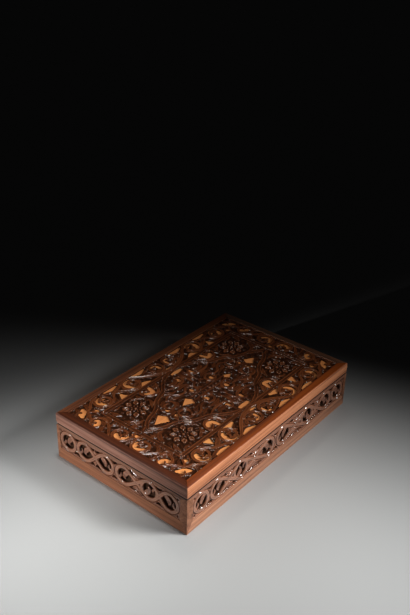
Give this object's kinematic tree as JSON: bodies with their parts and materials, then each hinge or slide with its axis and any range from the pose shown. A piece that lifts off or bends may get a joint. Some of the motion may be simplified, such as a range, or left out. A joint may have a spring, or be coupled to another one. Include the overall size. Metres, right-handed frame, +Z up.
{
  "type": "rosewood box",
  "caption": "Low rectangular wooden box with pierced scrollwork sides and a hinged lid that holds a carved and pierced panel over a pale wood backing.",
  "frame": {"origin": "centre of the underside, where the box rests", "axes": "+Z up, +X along the length to the right seen from the front, -Y the front; the hinges are at the back, on +Y"},
  "size_m": [0.32, 0.202, 0.064],
  "materials": {
    "rosewood": "wax-polished rosewood, satin",
    "carved_rosewood": "dark polished carved rosewood",
    "pale_wood": "plain pale wood, satin",
    "lining": "dark stained thin board, matt",
    "brass": "aged brass"
  },
  "bodies": {
    "body": {"bottom_board": "rosewood", "front_bottom_rail": "rosewood", "front_top_rail": "rosewood", "front_left_stile": "rosewood", "front_right_stile": "rosewood", "front_fretwork": "carved_rosewood", "front_lining": "lining", "right_bottom_rail": "rosewood", "right_top_rail": "rosewood", "right_left_stile": "rosewood", "right_right_stile": "rosewood", "right_fretwork": "carved_rosewood", "right_lining": "lining", "back_bottom_rail": "rosewood", "back_top_rail": "rosewood", "back_left_stile": "rosewood", "back_right_stile": "rosewood", "back_fretwork": "carved_rosewood", "back_lining": "lining", "left_bottom_rail": "rosewood", "left_top_rail": "rosewood", "left_left_stile": "rosewood", "left_right_stile": "rosewood", "left_fretwork": "carved_rosewood", "left_lining": "lining", "right_hinge_lower_leaf": "brass", "right_hinge_pin": "brass", "right_hinge_lower_screw_1": "brass", "right_hinge_lower_screw_2": "brass", "left_hinge_lower_leaf": "brass", "left_hinge_pin": "brass", "left_hinge_lower_screw_1": "brass", "left_hinge_lower_screw_2": "brass"},
    "lid": {"front_lid_rail": "rosewood", "right_lid_rail": "rosewood", "back_lid_rail": "rosewood", "left_lid_rail": "rosewood", "lid_fretwork": "carved_rosewood", "lid_backing": "pale_wood", "right_hinge_upper_leaf": "brass", "right_hinge_upper_screw_1": "brass", "right_hinge_upper_screw_2": "brass", "left_hinge_upper_leaf": "brass", "left_hinge_upper_screw_1": "brass", "left_hinge_upper_screw_2": "brass"}
  },
  "joints": [
    {"name": "lid_hinge", "type": "hinge", "parent": "body", "child": "lid", "pos_m": [0, 0.0988, 0.0492], "axis": [-1, 0, 0], "range_deg": [0, 100]}
  ]
}
